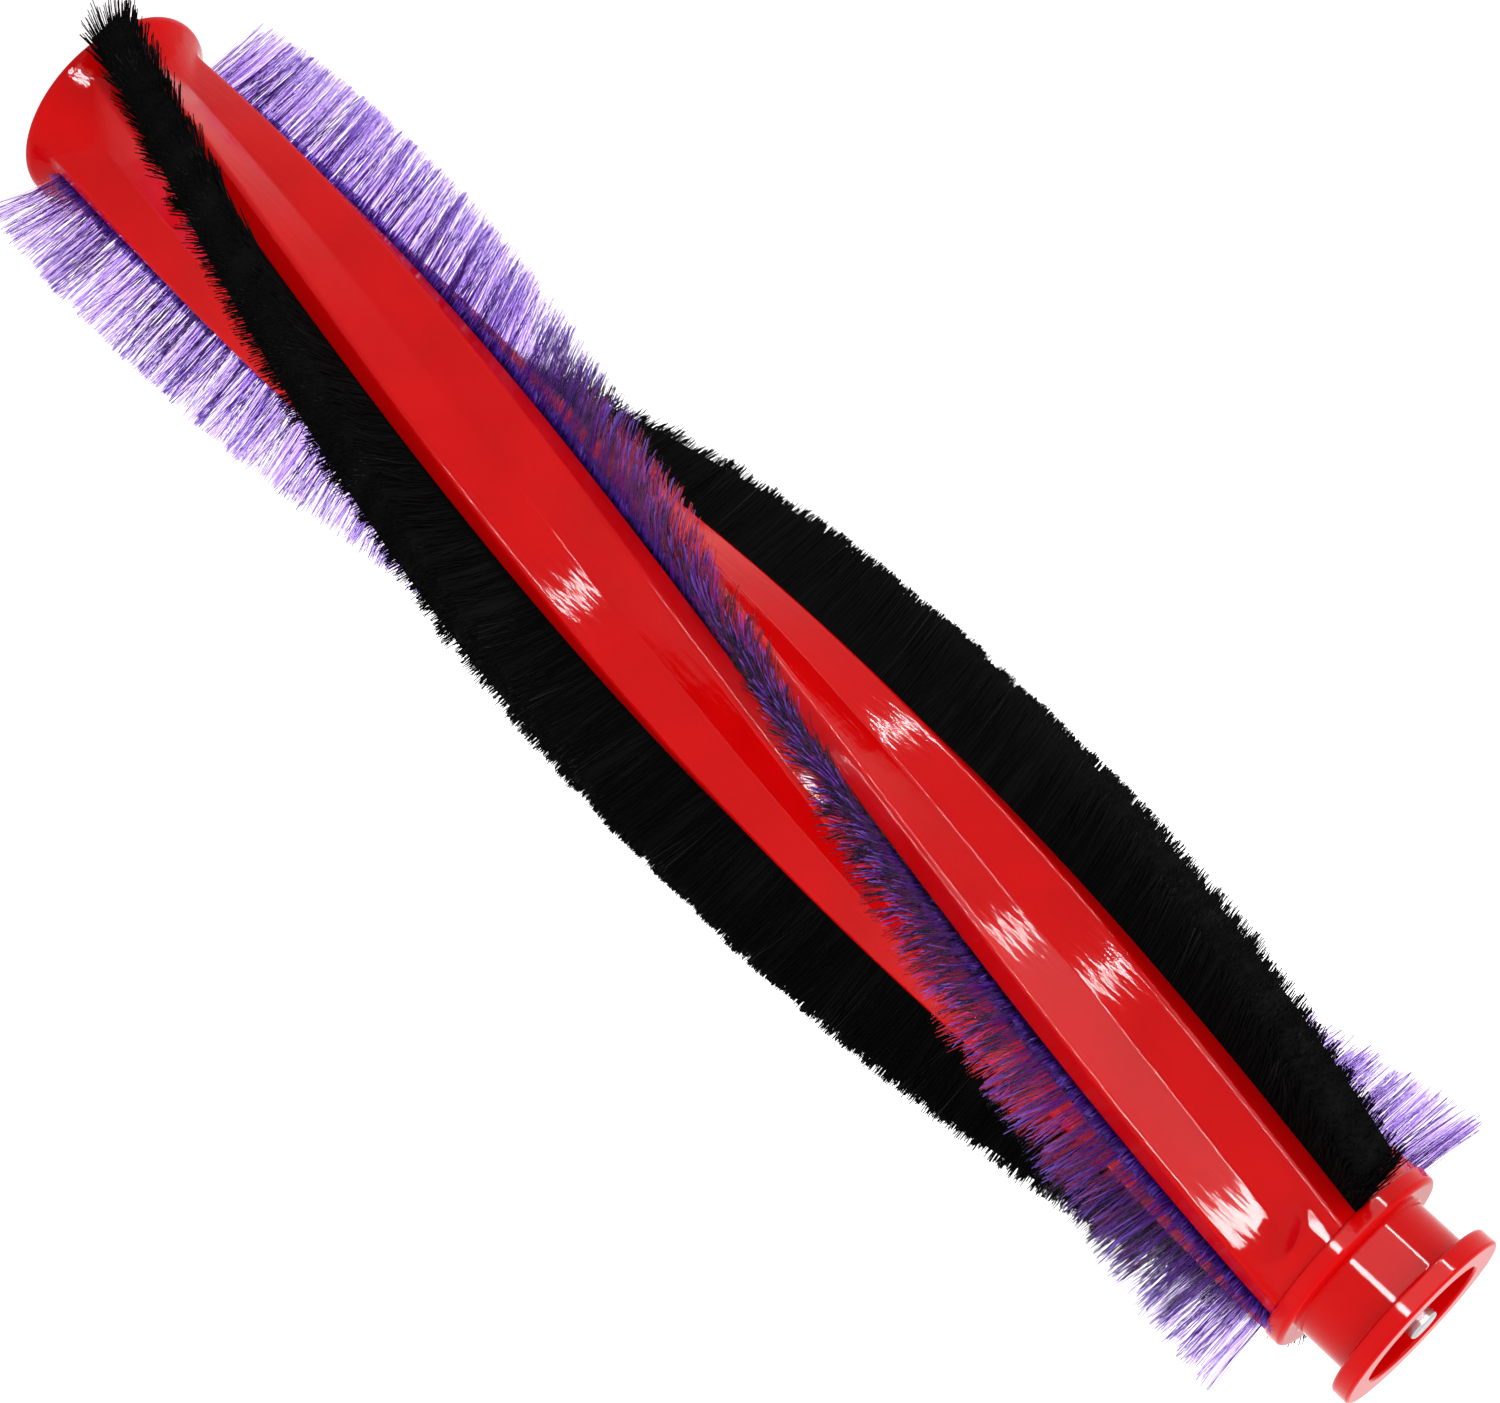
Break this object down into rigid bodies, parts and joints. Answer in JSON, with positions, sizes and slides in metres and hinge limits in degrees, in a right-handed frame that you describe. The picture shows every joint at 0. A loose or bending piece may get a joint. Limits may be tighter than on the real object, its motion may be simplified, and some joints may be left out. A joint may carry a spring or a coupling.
{
  "type": "vacuum roller brush",
  "caption": "Vacuum head roller brush: a twisted red core with helical strips of violet nylon and black fibre bristles, a flared drive end and a spool-shaped end with an axle pin.",
  "frame": {"origin": "centre of the flared end's rim face, on the roller's axis", "axes": "+Z along the roller's axis from the flared drive end to the spool-shaped end, +X through the line of the first black strip at the rim face"},
  "size_m": [0.046, 0.046, 0.2254],
  "materials": {
    "red_plastic": "glossy moulded plastic",
    "pin_steel": "ground",
    "nylon_bristle": "translucent violet filament",
    "carbon_bristle": "dense black fibre",
    "strip_backing": "matt extruded plastic"
  },
  "bodies": {
    "root": {"core": "red_plastic", "spool_end_cap": "red_plastic", "axle_pin": "pin_steel", "carbon_strip_backing_1": "strip_backing", "carbon_bristles_1": "carbon_bristle", "nylon_strip_backing_1": "strip_backing", "nylon_bristles_1": "nylon_bristle", "carbon_strip_backing_2": "strip_backing", "carbon_bristles_2": "carbon_bristle", "nylon_strip_backing_2": "strip_backing", "nylon_bristles_2": "nylon_bristle"}
  },
  "joints": []
}
